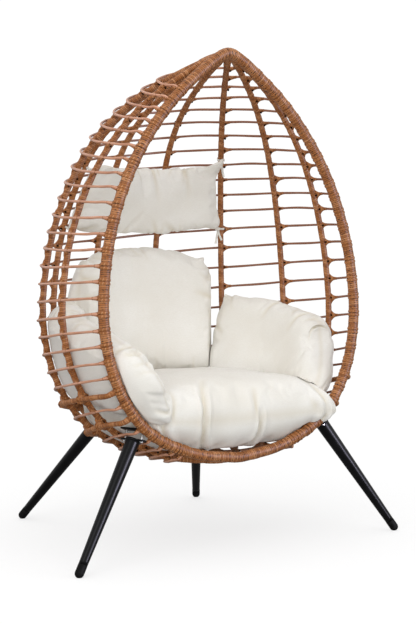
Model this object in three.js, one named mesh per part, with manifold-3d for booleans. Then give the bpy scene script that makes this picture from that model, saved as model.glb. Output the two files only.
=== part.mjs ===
// Teardrop egg chair: a wrapped steel basket frame with cane hoops, four splayed legs, five loose cushions.
// Millimetres, +Z up, +X to the right as seen from the front, the sitter looks along -Y.
// The origin is on the ground, in the middle of the chair's own bounding box.
import * as THREE from 'three';
import { mergeVertices } from 'three/addons/utils/BufferGeometryUtils.js';
import Module from 'manifold-3d';

const wasm = await Module();
wasm.setup();

// ---- driving dimensions ----

// The basket is drawn from a datum that stands this far above the ground.
const DATUM_HEIGHT = 11;

// The front rim lies in a plane that leans back a little.
const RIM_FOOT_Y = -390.5;
const RIM_SLOPE = Math.tan(THREE.MathUtils.degToRad(2.74));
const RIM_RADIUS = 16.5;

// Half-widths and heights of the rim's centre line, from the bottom to the pointed top.
const RIM_OUTLINE = [
  [0, 280], [130, 296], [235, 331], [320, 379], [387, 454], [440, 562], [466, 700],
  [461, 837], [436, 973], [388, 1112], [312, 1249], [211, 1375], [101, 1471], [30, 1521],
];
const RIM_BOTTOM = 280;
const RIM_TOP = 1530;

// Each level of the basket is an arc from rim to rim around this axis, which bends forward to the top.
const AXIS_Y = -160;
const AXIS_BEND_Z = 1150;
const AXIS_BEND = 157;

// Below this level the basket closes in a flat bowl that runs into the bottom of the rim.
const BOWL_RIM_Z = 320;
const BOWL_FLOOR_Z = 274;

// Eight flat ribs fan out from the rim's centre line in equal steps.
const RIB_RADIUS = 9.8;
const RIB_COUNT = 8;
const RIB_STEP = Math.PI / (RIB_COUNT + 1);
const RIB_NAMES = ['side', 'quarter', 'rear', 'centre'];
const RIB_END = 60;
const SIDE_RIB_END = 76;

// Hoops are evenly spaced along the rim; each lies in its own tilted plane.
const HOOP_COUNT = 29;
const HOOP_PITCH = 46.8;
const FIRST_HOOP_ARC = 214;
const THICK_HOOPS = [21, 23];
const CANE_RADIUS = 4;
const THICK_HOOP_RADIUS = 8.2;
const HOOP_CLEARANCE = 1.6;
const HOOP_END_GAP = 14;
const LEVEL_HOOP_Z = 1000;
const HOOP_FAN = 0.42 / 1000;
const STEEPEST_DROP = -0.24;
const HAND_TILT = 74;
const TILT_ENDS_AT = 20;
const FULL_TILT_AT = 10;

// Legs: a tapered tube under a bar with rounded ends, two bolts, a rounded foot.
const FRONT_FOOT = new THREE.Vector3(590, -423.5, -DATUM_HEIGHT);
const REAR_FOOT = new THREE.Vector3(355, 423.5, -DATUM_HEIGHT);
const FRONT_MOUNT = { angle: 7.4, z: 380, droop: 1.4 };
const REAR_MOUNT = { angle: 70.9, z: 363, droop: 0 };
const LEG_TOP_RADIUS = 22;
const LEG_FOOT_RADIUS = 13.6;
const PLATE_RADIUS = 42;
const PLATE_WIDTH = 31;
const PLATE_THICKNESS = 5;
const PLATE_OFFSET = 21.5;
const LUG_OFFSET = -7;
const LUG_THICKNESS = 5;
const LUG_WIDTH = 46;
const FRONT_LUG_REACH = 62;
const REAR_LUG_REACH = 114;
const BOLT_SPREAD = 29.2;
const BOLT_RADIUS = 3;
const BOLT_HEAD_RADIUS = 5.8;
const BOLT_HEAD_HEIGHT = 4.2;
const HOLE_RADIUS = 3.4;
const FOOT_CAP_RADIUS = 14;
const FOOT_CAP_LENGTH = 26;
const FOOT_FLAT_DEPTH = 1.5;
const GAP = 0.3;

// Cushions: degrees around the basket's axis from the right-hand side, then heights and thickness.
const CUSHION_CLEARANCE = 3;
const SEAT = {
  halfWidth: 375, frontReach: 256, middleZ: 405, rise: 112, fall: 82, frontDroop: 24, squareness: 10,
};
const SEAT_MARGIN = 2;
const ARM = { from: -38, to: 51, bottom: 436, highest: 764, highestAt: 45, fall: 66, thickness: 120 };
const BACK = { from: 52, to: 128, bottom: 500, top: 920, thickness: 125 };
const PILLOW = { from: 47, to: 138, bottom: 962, top: 1192, thickness: 95 };

// ---- materials ----

const finish = (color, roughness, metalness) => ({ color, roughness, metalness });
const WRAPPED_STRAND = finish(0xa9744b, 0.62, 0);
const CANE = finish(0xb97f62, 0.55, 0);
const BLACK_STEEL = finish(0x141416, 0.35, 0.4);
const BLACK_PLASTIC = finish(0x101012, 0.5, 0);
const ZINC = finish(0xb8bcc0, 0.3, 1);
const CREAM_FABRIC = finish(0xeeeae0, 0.9, 0);

const chair = new THREE.Group();
const raised = new THREE.Group();
raised.position.z = DATUM_HEIGHT;
chair.add(raised);

function addPiece(name, geometry, look) {
  const mesh = new THREE.Mesh(geometry, new THREE.MeshStandardMaterial(look));
  mesh.name = name;
  raised.add(mesh);
}

// ---- the shape of the basket ----

const outlineCurve = new THREE.SplineCurve(
  [...RIM_OUTLINE, [0, RIM_TOP]].map(([halfWidth, z]) => new THREE.Vector2(halfWidth, z)),
);
const outlineLength = outlineCurve.getLength();
const outlinePoints = outlineCurve.getSpacedPoints(600);
const rimY = (z) => RIM_FOOT_Y + RIM_SLOPE * z;

function rimHalfWidth(z) {
  const next = outlinePoints.findIndex((point) => point.y >= z);
  if (next <= 0) return 0;
  const low = outlinePoints[next - 1];
  const high = outlinePoints[next];
  return THREE.MathUtils.mapLinear(z, low.y, high.y, low.x, high.x);
}

function axisY(z) {
  const bend = Math.max(0, (z - AXIS_BEND_Z) / (RIM_TOP - AXIS_BEND_Z));
  return AXIS_Y - AXIS_BEND * bend ** 3;
}

// Distance from the rim's centre line to the basket wall, in the direction of one angle.
function reachAt(angle, z) {
  const back = axisY(z) - rimY(z);
  const radius = Math.hypot(rimHalfWidth(z), back);
  return back * Math.sin(angle) + Math.sqrt(radius ** 2 - (back * Math.cos(angle)) ** 2);
}

function wallPoint(angle, reach, z) {
  return new THREE.Vector3(reach * Math.cos(angle), rimY(z) + reach * Math.sin(angle), z);
}

// One meridian of the basket wall: across the bowl, then up to the top of the rim.
const BOWL_STEPS = 100;
const wallHeights = outlinePoints.map((point) => point.y).filter((z) => z > BOWL_RIM_Z && z < RIM_TOP - 4);

function meridianPoint(angle, step) {
  if (step >= BOWL_STEPS) {
    const z = wallHeights[Math.min(step - BOWL_STEPS, wallHeights.length - 1)];
    return wallPoint(angle, reachAt(angle, z), z);
  }
  const share = Math.max(step, 1) / BOWL_STEPS;
  const z = BOWL_FLOOR_Z + (BOWL_RIM_Z - BOWL_FLOOR_Z) * share ** 4;
  return wallPoint(angle, share * reachAt(angle, BOWL_RIM_Z), z);
}

const MERIDIAN_STEPS = BOWL_STEPS + wallHeights.length - 1;

// The outward direction of the wall.
function wallNormal(angle, step) {
  const spread = 0.02;
  const around = meridianPoint(angle + spread, step).sub(meridianPoint(angle - spread, step));
  const upwards = meridianPoint(angle, step + 4).sub(meridianPoint(angle, Math.max(step - 4, 1)));
  return around.cross(upwards).normalize();
}

// ---- sweeps ----

// A curve through given points whose steps fall exactly on those points.
class StationCurve extends THREE.Curve {
  constructor(stations) {
    super();
    this.smooth = new THREE.CatmullRomCurve3(stations, false, 'centripetal');
  }

  getPoint(t, target = new THREE.Vector3()) {
    return this.smooth.getPoint(t, target);
  }

  getUtoTmapping(u) {
    return u;
  }
}

function polygon(radius, sides) {
  const shape = new THREE.Shape();
  for (let side = 0; side < sides; side += 1) {
    const angle = (side / sides) * Math.PI * 2;
    const place = side === 0 ? 'moveTo' : 'lineTo';
    shape[place](radius * Math.cos(angle), radius * Math.sin(angle));
  }
  shape.closePath();
  return shape;
}

function tubeThrough(stations, radius, sides) {
  return new THREE.ExtrudeGeometry(polygon(radius, sides), {
    steps: stations.length - 1,
    curveSegments: 1,
    extrudePath: new StationCurve(stations),
  });
}

// ---- booleans ----

function toSolid(geometry, placement = new THREE.Matrix4()) {
  const bare = geometry.clone();
  bare.deleteAttribute('normal');
  bare.deleteAttribute('uv');
  bare.applyMatrix4(placement);
  const merged = mergeVertices(bare, 1e-3);
  return new wasm.Manifold(new wasm.Mesh({
    numProp: 3,
    vertProperties: new Float32Array(merged.attributes.position.array),
    triVerts: new Uint32Array(merged.index.array),
  }));
}

function toGeometry(solid) {
  const { vertProperties, triVerts } = solid.getMesh();
  const geometry = new THREE.BufferGeometry();
  geometry.setAttribute('position', new THREE.BufferAttribute(vertProperties, 3));
  geometry.setIndex(new THREE.BufferAttribute(triVerts, 1));
  return geometry;
}

function cylinderSolid(frame, radius, from, to, sides) {
  const cylinder = new THREE.CylinderGeometry(radius, radius, to - from, sides);
  cylinder.rotateX(Math.PI / 2);
  cylinder.translate(0, 0, (from + to) / 2);
  return toSolid(cylinder, frame);
}

// ---- where the legs meet the basket ----

// A frame on the wall: z points outwards, and down by the droop; x runs around the basket, y runs up it.
function mountFrame({ angle, z, droop }, mirror) {
  const turn = THREE.MathUtils.degToRad(mirror > 0 ? angle : 180 - angle);
  const step = BOWL_STEPS + wallHeights.findIndex((height) => height >= z);
  const outwards = wallNormal(turn, step);
  outwards.z -= droop;
  outwards.normalize();
  const around = new THREE.Vector3(0, 0, 1).cross(outwards).normalize();
  const upwards = outwards.clone().cross(around);
  const frame = new THREE.Matrix4().makeBasis(around, upwards, outwards);
  return frame.setPosition(meridianPoint(turn, step));
}

const legs = [['left', -1], ['right', 1]].flatMap(([side, mirror]) => [
  {
    name: `front_${side}`,
    mirror,
    foot: FRONT_FOOT,
    frame: mountFrame(FRONT_MOUNT, mirror),
    boltsAlong: 'x',
  },
  {
    name: `rear_${side}`,
    mirror,
    foot: REAR_FOOT,
    frame: mountFrame(REAR_MOUNT, mirror),
    boltsAlong: 'y',
  },
]);

function boltFrames(leg) {
  return [-BOLT_SPREAD, BOLT_SPREAD].map((offset) => {
    const shift = new THREE.Vector3();
    shift[leg.boltsAlong] = offset;
    return leg.frame.clone().multiply(new THREE.Matrix4().makeTranslation(shift));
  });
}

// A welded plate that reaches from a leg's mount to the tube beside it, with holes for the two bolts.
function lugSolid(leg, reach) {
  const along = leg.boltsAlong === 'x' ? BOLT_SPREAD : 0;
  const across = leg.boltsAlong === 'y' ? BOLT_SPREAD : 0;
  const start = -Math.sign(reach) * (along + 12);
  const plate = new THREE.BoxGeometry(Math.abs(reach - start), LUG_WIDTH + across, LUG_THICKNESS);
  plate.translate((reach + start) / 2, 0, LUG_OFFSET + LUG_THICKNESS / 2);
  const lugTop = LUG_OFFSET + LUG_THICKNESS;
  let lug = toSolid(plate, leg.frame);
  for (const frame of boltFrames(leg)) {
    lug = lug.subtract(cylinderSolid(frame, HOLE_RADIUS, LUG_OFFSET - 1, lugTop + 1, 8));
  }
  return lug;
}

// ---- the frame ----

function rimGeometry() {
  const right = outlineCurve.getSpacedPoints(30).slice(1, -1);
  const place = ({ x, y }, sign) => new THREE.Vector3(sign * x, rimY(y), y);
  const stations = [
    place({ x: 0, y: RIM_BOTTOM }, 1),
    ...right.map((point) => place(point, 1)),
    place({ x: 0, y: RIM_TOP }, 1),
    ...right.reverse().map((point) => place(point, -1)),
  ];
  const loop = new THREE.CatmullRomCurve3(stations, true, 'centripetal');
  return new THREE.TubeGeometry(loop, stations.length, RIM_RADIUS, 8, true);
}

function buildRim() {
  let rim = toSolid(rimGeometry());
  for (const leg of legs.filter(({ foot }) => foot === FRONT_FOOT)) {
    rim = rim.add(lugSolid(leg, -FRONT_LUG_REACH * leg.mirror));
  }
  addPiece('front_rim', toGeometry(rim), WRAPPED_STRAND);
}

// A rib follows one meridian and stops where it would touch its neighbours.
function ribStations(angle, end) {
  const steps = [];
  for (let step = 1; step <= MERIDIAN_STEPS; step += 1) {
    const { x, y, z } = meridianPoint(angle, step);
    if (Math.hypot(x, y - rimY(z)) >= end) steps.push(step);
  }
  const count = 24;
  return Array.from({ length: count + 1 }, (_, index) => (
    meridianPoint(angle, steps[Math.round((index / count) * (steps.length - 1))])
  ));
}

function buildRibs() {
  for (let index = 0; index < RIB_COUNT; index += 1) {
    const right = index < RIB_COUNT / 2;
    const kind = RIB_NAMES[right ? index : RIB_COUNT - 1 - index];
    const name = `${right ? 'right' : 'left'}_${kind}_rib`;
    const stations = ribStations((index + 1) * RIB_STEP, kind === 'side' ? SIDE_RIB_END : RIB_END);
    let geometry = tubeThrough(stations, RIB_RADIUS, 6);
    if (kind === 'rear') {
      const leg = legs.find(({ foot, mirror }) => foot === REAR_FOOT && (mirror > 0) === right);
      geometry = toGeometry(toSolid(geometry).add(lugSolid(leg, -REAR_LUG_REACH * leg.mirror)));
    }
    addPiece(name, geometry, WRAPPED_STRAND);
  }
}

// ---- the hoops ----

function hoopPlane(index) {
  const arc = FIRST_HOOP_ARC + index * HOOP_PITCH;
  const leftZ = outlineCurve.getPointAt(1 - arc / outlineLength).y;
  const tilt = HAND_TILT * (1 - THREE.MathUtils.smoothstep(index, FULL_TILT_AT, TILT_ENDS_AT));
  const middleZ = leftZ + tilt / 2;
  const across = tilt / 2 / rimHalfWidth(leftZ);
  const drop = Math.max(HOOP_FAN * (middleZ - LEVEL_HOOP_Z), STEEPEST_DROP);
  return ({ x, y }) => middleZ + across * x + drop * (y - rimY(middleZ));
}

// The step of a meridian at which a plane cuts the wall.
function cutStep(plane, angle) {
  for (let step = MERIDIAN_STEPS; step > 1; step -= 1) {
    const point = meridianPoint(angle, step);
    if (point.z <= plane(point)) return step;
  }
  return 1;
}

function hoopStations(index, radius) {
  const plane = hoopPlane(index);
  const inset = HOOP_END_GAP + (radius - CANE_RADIUS) / 2;
  const endAngle = (side) => {
    const { x } = meridianPoint(side, cutStep(plane, side));
    return Math.asin(inset / Math.abs(x));
  };
  const halfBays = Array.from({ length: RIB_COUNT * 2 + 1 }, (_, step) => ((step + 1) / 2) * RIB_STEP);
  const angles = [endAngle(0), ...halfBays, Math.PI - endAngle(Math.PI)];
  return angles.map((angle) => {
    const step = cutStep(plane, angle);
    const away = wallNormal(angle, step).multiplyScalar(RIB_RADIUS + radius + HOOP_CLEARANCE);
    return meridianPoint(angle, step).add(away);
  });
}

function buildHoops() {
  for (let index = 0; index < HOOP_COUNT; index += 1) {
    const thick = THICK_HOOPS.includes(index);
    const radius = thick ? THICK_HOOP_RADIUS : CANE_RADIUS;
    const number = String(index + 1).padStart(2, '0');
    const name = thick ? `wrapped_hoop_${number}` : `cane_hoop_${number}`;
    addPiece(name, tubeThrough(hoopStations(index, radius), radius, 5), thick ? WRAPPED_STRAND : CANE);
  }
}

// ---- the legs ----

function legPlacement(leg) {
  const foot = leg.foot.clone();
  foot.x *= leg.mirror;
  foot.z += FOOT_CAP_RADIUS - FOOT_FLAT_DEPTH;
  const top = new THREE.Vector3(0, 0, PLATE_OFFSET + 1).applyMatrix4(leg.frame);
  const axis = top.clone().sub(foot);
  const upright = new THREE.Vector3(0, 0, 1);
  const turn = new THREE.Quaternion().setFromUnitVectors(upright, axis.clone().normalize());
  const placement = new THREE.Matrix4().makeRotationFromQuaternion(turn).setPosition(foot);
  return { foot, placement, length: axis.length() };
}

function legTube(leg, { placement, length }) {
  const plateTop = PLATE_OFFSET + PLATE_THICKNESS;
  const start = FOOT_CAP_LENGTH + GAP;
  const tube = new THREE.CylinderGeometry(LEG_TOP_RADIUS, LEG_FOOT_RADIUS, length - start, 12);
  tube.rotateX(Math.PI / 2);
  tube.translate(0, 0, (length + start) / 2);
  const sizes = leg.boltsAlong === 'x' ? [2 * PLATE_RADIUS, PLATE_WIDTH] : [PLATE_WIDTH, 2 * PLATE_RADIUS];
  const trim = new THREE.BoxGeometry(...sizes, 2 * plateTop);
  const disc = cylinderSolid(leg.frame, PLATE_RADIUS, PLATE_OFFSET, plateTop, 16);
  let solid = toSolid(tube, placement)
    .add(disc.intersect(toSolid(trim, leg.frame)))
    .subtract(cylinderSolid(leg.frame, PLATE_RADIUS, PLATE_OFFSET - 30, PLATE_OFFSET, 16));
  for (const frame of boltFrames(leg)) {
    solid = solid.subtract(cylinderSolid(frame, HOLE_RADIUS, PLATE_OFFSET - 1, plateTop + 1, 8));
  }
  return toGeometry(solid);
}

// A plug with a rounded end, ground flat where it stands on the floor.
function footCap({ foot, placement }) {
  const profile = Array.from({ length: 5 }, (_, step) => {
    const turn = (step / 4) * (Math.PI / 2);
    return new THREE.Vector2(FOOT_CAP_RADIUS * Math.sin(turn), -FOOT_CAP_RADIUS * Math.cos(turn));
  });
  profile.push(new THREE.Vector2(FOOT_CAP_RADIUS, FOOT_CAP_LENGTH), new THREE.Vector2(0, FOOT_CAP_LENGTH));
  const cap = new THREE.LatheGeometry(profile, 12);
  cap.rotateX(Math.PI / 2);
  const ground = new THREE.BoxGeometry(200, 200, 100);
  ground.translate(foot.x, foot.y, -DATUM_HEIGHT - 50);
  return toGeometry(toSolid(cap, placement).subtract(toSolid(ground)));
}

function boltGeometry(frame) {
  const headBase = PLATE_OFFSET + PLATE_THICKNESS + GAP;
  const head = cylinderSolid(frame, BOLT_HEAD_RADIUS, headBase, headBase + BOLT_HEAD_HEIGHT, 6);
  const shank = cylinderSolid(frame, BOLT_RADIUS, LUG_OFFSET - 1, headBase + 1, 6);
  return toGeometry(head.add(shank));
}

function buildLeg(leg) {
  const placed = legPlacement(leg);
  addPiece(`${leg.name}_leg`, legTube(leg, placed), BLACK_STEEL);
  addPiece(`${leg.name}_foot`, footCap(placed), BLACK_PLASTIC);
  boltFrames(leg).forEach((frame, index) => {
    addPiece(`${leg.name}_bolt_${index + 1}`, boltGeometry(frame), ZINC);
  });
}

// ---- the cushions ----

const swell = (value, power) => Math.sign(value) * Math.abs(value) ** power;

// Reshapes a ball into a soft solid; place receives three coordinates that run from -1 to 1.
function softSolid(around, place) {
  const ball = new THREE.SphereGeometry(1, around, 10);
  ball.rotateX(Math.PI / 2);
  const position = ball.attributes.position;
  for (let index = 0; index < position.count; index += 1) {
    const moved = place(position.getX(index), position.getY(index), position.getZ(index));
    position.setXYZ(index, moved.x, moved.y, moved.z);
  }
  return ball;
}

// A padded slab that rests against the inside of the ribs; angles are taken around the basket's axis.
function paddedSlab({ from, to, bottom, topAt, thickness }) {
  const middle = (from + to) / 2;
  const halfTurn = (to - from) / 2;
  return softSolid(18, (u, v, w) => {
    const degrees = middle + swell(u, 0.55) * halfTurn;
    const angle = THREE.MathUtils.degToRad(degrees);
    const z = bottom + ((topAt(degrees) - bottom) * (1 + swell(v, 0.55))) / 2;
    const wall = Math.hypot(rimHalfWidth(z), axisY(z) - rimY(z));
    const reach = wall - RIB_RADIUS - CUSHION_CLEARANCE - (thickness / 2) * (1 - swell(w, 0.8));
    return new THREE.Vector3(reach * Math.cos(angle), axisY(z) + reach * Math.sin(angle), z);
  });
}

// The seat fills the bowl and has a straight front edge; margin makes it larger all round.
function seatCushion(margin = 0) {
  const { halfWidth, frontReach, middleZ, rise, fall, frontDroop, squareness } = SEAT;
  return softSolid(24, (u, v, w) => {
    const angle = Math.atan2(v, u);
    const front = frontReach / Math.max(-Math.sin(angle), 0.01);
    const outline = (halfWidth ** -squareness + front ** -squareness) ** (-1 / squareness) + margin;
    const reach = outline * Math.hypot(u, v) ** 0.8;
    const droop = frontDroop * Math.max(-v, 0) * (1 - u * u);
    const z = middleZ + (w > 0 ? (rise + margin) * w ** 0.6 : (fall + droop + margin) * -((-w) ** 0.9));
    return new THREE.Vector3(reach * Math.cos(angle), AXIS_Y + reach * Math.sin(angle), z);
  });
}

// An arm cushion rests on the seat.
function armCushion(slab) {
  return toGeometry(toSolid(slab).subtract(toSolid(seatCushion(SEAT_MARGIN))));
}

// An arm cushion is high at the back and falls away towards the front.
const armTop = (degrees) => ARM.highest - ARM.fall * ((ARM.highestAt - degrees) / 65) ** 2;
const leftArmTop = (degrees) => armTop(180 - degrees);

buildRim();
buildRibs();
buildHoops();
legs.forEach(buildLeg);
addPiece('seat_cushion', seatCushion(), CREAM_FABRIC);
addPiece('back_cushion', paddedSlab({ ...BACK, topAt: () => BACK.top }), CREAM_FABRIC);
const rightArm = paddedSlab({ ...ARM, topAt: armTop });
const leftArm = paddedSlab({ ...ARM, from: 180 - ARM.to, to: 180 - ARM.from, topAt: leftArmTop });
addPiece('right_arm_cushion', armCushion(rightArm), CREAM_FABRIC);
addPiece('left_arm_cushion', armCushion(leftArm), CREAM_FABRIC);
addPiece('head_pillow', paddedSlab({ ...PILLOW, topAt: () => PILLOW.top }), CREAM_FABRIC);

export default chair;
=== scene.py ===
"""The teardrop egg chair: a frame of wound strand, bent canes and their lashings, black legs, soft cushions.

Lengths are in metres. Lines and places come from the frame's solids; the sizes below match those solids.
"""
import math

import bpy
import numpy as np
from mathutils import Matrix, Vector
from mathutils.bvhtree import BVHTree


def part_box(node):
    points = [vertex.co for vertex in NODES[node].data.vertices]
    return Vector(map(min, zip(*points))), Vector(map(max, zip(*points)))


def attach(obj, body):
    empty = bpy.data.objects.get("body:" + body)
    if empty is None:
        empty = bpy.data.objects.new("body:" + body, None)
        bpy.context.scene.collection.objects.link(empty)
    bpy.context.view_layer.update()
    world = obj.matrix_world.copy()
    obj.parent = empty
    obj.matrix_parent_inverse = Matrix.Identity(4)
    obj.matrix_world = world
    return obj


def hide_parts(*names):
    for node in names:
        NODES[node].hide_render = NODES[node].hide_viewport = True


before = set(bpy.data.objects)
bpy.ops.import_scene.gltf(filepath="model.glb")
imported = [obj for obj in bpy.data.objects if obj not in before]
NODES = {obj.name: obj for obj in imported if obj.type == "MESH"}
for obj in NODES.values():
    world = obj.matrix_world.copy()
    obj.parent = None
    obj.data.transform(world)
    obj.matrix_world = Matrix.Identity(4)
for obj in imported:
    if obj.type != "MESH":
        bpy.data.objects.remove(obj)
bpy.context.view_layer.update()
RANDOM = np.random.default_rng(7)
SCENE = bpy.context.scene

# ---- what the frame's solids look like ----

DATUM = 0.011
RIM_PLANE_FOOT = -0.3905
RIM_PLANE_SLOPE = math.tan(math.radians(2.74))
BASKET_AXIS_Y = -0.160
RIM_SIDES, RIM_RADIUS = 8, 0.0165
RIB_SIDES, RIB_RADIUS = 6, 0.0098
HOOP_SIDES, CANE_RADIUS, THICK_RADIUS = 5, 0.0040, 0.0082
EGG_MIDDLE = (0.15, 0.75)
RING_TOLERANCE, ROUNDING = 0.03, 2e-5

RIB_NODES = sorted(name for name in NODES if name.endswith("_rib"))
HOOP_NODES = sorted(name for name in NODES if "_hoop_" in name)
LEGS = [f"{end}_{side}" for end in ("front", "rear") for side in ("left", "right")]


def rim_plane_y(z):
    return RIM_PLANE_FOOT + RIM_PLANE_SLOPE * (z - DATUM)


def node_points(name):
    """The distinct vertices of one CAD node."""
    points = np.array([vertex.co for vertex in NODES[name].data.vertices], float)
    return np.unique(np.round(points, 6), axis=0)


def ring_centres(points, key, sides, radius):
    """Centres of the regular rings of a swept tube, in the order of a key; other vertices are passed over."""
    points = points[np.argsort(key)]
    centres = []
    start = 0
    while start + sides <= len(points):
        ring = points[start:start + sides]
        middle = ring.mean(0)
        spread = np.linalg.norm(ring - middle, axis=1)
        if np.abs(spread - radius).max() < RING_TOLERANCE * radius + ROUNDING:
            centres.append(middle)
            start += sides
        else:
            start += 1
    return np.array(centres)


def hoop_centres(name):
    points = node_points(name)
    key = np.arctan2(points[:, 1] - rim_plane_y(points[:, 2]), points[:, 0])
    radius = THICK_RADIUS if name.startswith("wrapped") else CANE_RADIUS
    return ring_centres(points, key, HOOP_SIDES, radius)


def rib_centres(name):
    points = node_points(name)
    reach = np.hypot(points[:, 0], points[:, 1] - rim_plane_y(points[:, 2]))
    key = np.arctan2(points[:, 2] - EGG_MIDDLE[1], reach - EGG_MIDDLE[0])
    return ring_centres(points, key, RIB_SIDES, RIB_RADIUS)


def rim_centres():
    points = node_points("front_rim")
    key = np.arctan2(points[:, 0], EGG_MIDDLE[1] - points[:, 2])
    return ring_centres(points, key, RIM_SIDES, RIM_RADIUS)


# ---- curves ----

PIECES_PER_KNOT = 24
LINE_STEP = 0.003
UP = (0.0, 0.0, 1.0)
FULL_TURN = 2 * math.pi


def ring_angles(sides):
    """The angles of a ring's corners."""
    return np.arange(sides) / sides * FULL_TURN


def unit(vector):
    return vector / np.maximum(np.linalg.norm(vector, axis=-1, keepdims=True), 1e-12)


def smooth_curve(points, spacing, closed=False):
    """Evenly spaced points on a cubic curve through the given points."""
    knots = np.asarray(points, float)
    if closed:
        knots = np.vstack([knots[-2:], knots, knots[:3]])
    chord = np.maximum(np.linalg.norm(np.diff(knots, axis=0), axis=1), 1e-9)
    at = np.concatenate([[0.0], np.cumsum(chord)])
    slope = np.gradient(knots, at, axis=0)
    first, last = (2, len(knots) - 3) if closed else (0, len(knots) - 1)
    fine = []
    t = np.linspace(0, 1, PIECES_PER_KNOT + 1)[:-1, None]
    for i in range(first, last):
        h = chord[i]
        fine.append(
            (2 * t**3 - 3 * t**2 + 1) * knots[i] + (t**3 - 2 * t**2 + t) * h * slope[i]
            + (-2 * t**3 + 3 * t**2) * knots[i + 1] + (t**3 - t**2) * h * slope[i + 1]
        )
    fine = np.vstack(fine + [knots[last][None]])
    length = np.concatenate([[0.0], np.cumsum(np.linalg.norm(np.diff(fine, axis=0), axis=1))])
    count = max(int(round(length[-1] / spacing)), 2)
    wanted = np.linspace(0, length[-1], count + 1)
    even = np.stack([np.interp(wanted, length, fine[:, k]) for k in range(3)], axis=1)
    return even[:-1] if closed else even


def frames_along(curve, closed=False, start=UP):
    """Two unit vectors across a curve at each point, turned as little as possible from one to the next."""
    if closed:
        tangent = unit(np.roll(curve, -1, 0) - np.roll(curve, 1, 0))
    else:
        tangent = unit(np.gradient(curve, axis=0))
    across = np.zeros_like(curve)
    across[0] = unit(np.asarray(start, float) - tangent[0] * np.dot(start, tangent[0]))
    for i in range(1, len(curve)):
        moved = across[i - 1] - tangent[i] * np.dot(across[i - 1], tangent[i])
        across[i] = unit(moved)
    other = np.cross(tangent, across)
    if closed:
        end = unit(across[-1] - tangent[0] * np.dot(across[-1], tangent[0]))
        slip = math.atan2(np.dot(end, other[0]), np.dot(end, across[0]))
        turn = -slip * np.arange(len(curve)) / len(curve)
        across, other = (
            across * np.cos(turn)[:, None] + other * np.sin(turn)[:, None],
            other * np.cos(turn)[:, None] - across * np.sin(turn)[:, None],
        )
    return tangent, across, other


# ---- meshes ----

class Soup:
    """Collects grids of quads that end up in one mesh, with one UV map."""

    def __init__(self):
        self.points, self.loops, self.sizes, self.uvs = [], [], [], []
        self.count = 0

    def add_tube(self, rings, along, closed=False):
        """rings is rows x columns x 3; along is each row's distance along it. An open tube gets caps."""
        rows, columns = rings.shape[:2]
        first = self.count
        self.points.append(rings.reshape(-1, 3))
        self.count += rows * columns
        last = rows if closed else rows - 1
        row = np.repeat(np.arange(last), columns)
        column = np.tile(np.arange(columns), last)
        next_row, next_column = (row + 1) % rows, (column + 1) % columns
        quads = np.stack([
            row * columns + column, row * columns + next_column,
            next_row * columns + next_column, next_row * columns + column,
        ], axis=1) + first
        self.loops.append(quads.reshape(-1))
        self.sizes.append(np.full(len(quads), 4))
        far = np.append(along, along[-1] + (along[-1] - along[-2]))[row + 1]
        u0, u1 = column / columns, (column + 1) / columns
        near = along[row]
        self.uvs.append(np.stack([
            np.stack([u0, near], 1), np.stack([u1, near], 1),
            np.stack([u1, far], 1), np.stack([u0, far], 1),
        ], axis=1).reshape(-1, 2))
        if not closed:
            for base, step in ((0, -1), ((rows - 1) * columns, 1)):
                ring = base + first + np.arange(columns)[::step]
                self.loops.append(ring)
                self.sizes.append(np.array([columns]))
                self.uvs.append(np.full((columns, 2), along[0 if step < 0 else -1]))

    def build(self, name, material, body, slot, replaces=(), smooth=True):
        mesh = bpy.data.meshes.new(name)
        points = np.vstack(self.points)
        loops, sizes = np.concatenate(self.loops), np.concatenate(self.sizes)
        mesh.vertices.add(len(points))
        mesh.vertices.foreach_set("co", points.ravel())
        mesh.loops.add(len(loops))
        mesh.loops.foreach_set("vertex_index", loops)
        mesh.polygons.add(len(sizes))
        mesh.polygons.foreach_set("loop_start", np.concatenate([[0], np.cumsum(sizes)[:-1]]))
        mesh.polygons.foreach_set("use_smooth", np.full(len(sizes), smooth))
        layer = mesh.uv_layers.new(name="wrap")
        mesh.update(calc_edges=True)
        layer.data.foreach_set("uv", np.vstack(self.uvs).ravel())
        mesh.validate()
        return place(bpy.data.objects.new(name, mesh), material, body, replaces)


def place(piece, material, body, replaces=()):
    SCENE.collection.objects.link(piece)
    piece.data.materials.clear()
    piece.data.materials.append(material)
    if replaces:
        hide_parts(*replaces)
    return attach(piece, body)


def tube_rings(curve, radii, sides, closed=False, start=UP):
    """radii is one number, one per row, or one per row and column."""
    _, across, other = frames_along(curve, closed, start)
    turn = ring_angles(sides)
    radii = np.asarray(radii, float)
    radii = radii.reshape(-1, 1) if radii.ndim < 2 else radii
    radii = np.broadcast_to(radii, (len(curve), sides))[:, :, None]
    return (
        curve[:, None] + radii * np.cos(turn)[None, :, None] * across[:, None]
        + radii * np.sin(turn)[None, :, None] * other[:, None]
    )


def row_lengths(curve):
    return np.concatenate([[0.0], np.cumsum(np.linalg.norm(np.diff(curve, axis=0), axis=1))])


WRAP_STEP = 0.0012
UNEVEN_SHARE = 0.3


def wound_rings(curve, radius, pitch, sides, crease, closed=False, swell=None):
    """Rings of a tube wound with a flat strand: shallow domes with a crease between the turns."""
    along = row_lengths(curve)
    total = along[-1] + (np.linalg.norm(curve[0] - curve[-1]) if closed else 0)
    turns = max(round(total / pitch), 1)
    phase = along[:, None] / total * turns - np.arange(sides)[None] / sides
    cell = np.floor(phase).astype(int)
    uneven = RANDOM.normal(0, 1, turns + 3)
    lift = uneven[(cell % turns) if closed else cell + 1] * crease * UNEVEN_SHARE
    part = np.abs(2 * (phase - cell) - 1)
    radii = radius + lift * (1 - part) - crease * part**4
    if swell is not None:
        radii = radii + swell[:, None]
    rings = tube_rings(curve, radii, sides, closed)
    return rings, along * (turns * pitch / total)


# ---- materials ----

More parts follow.
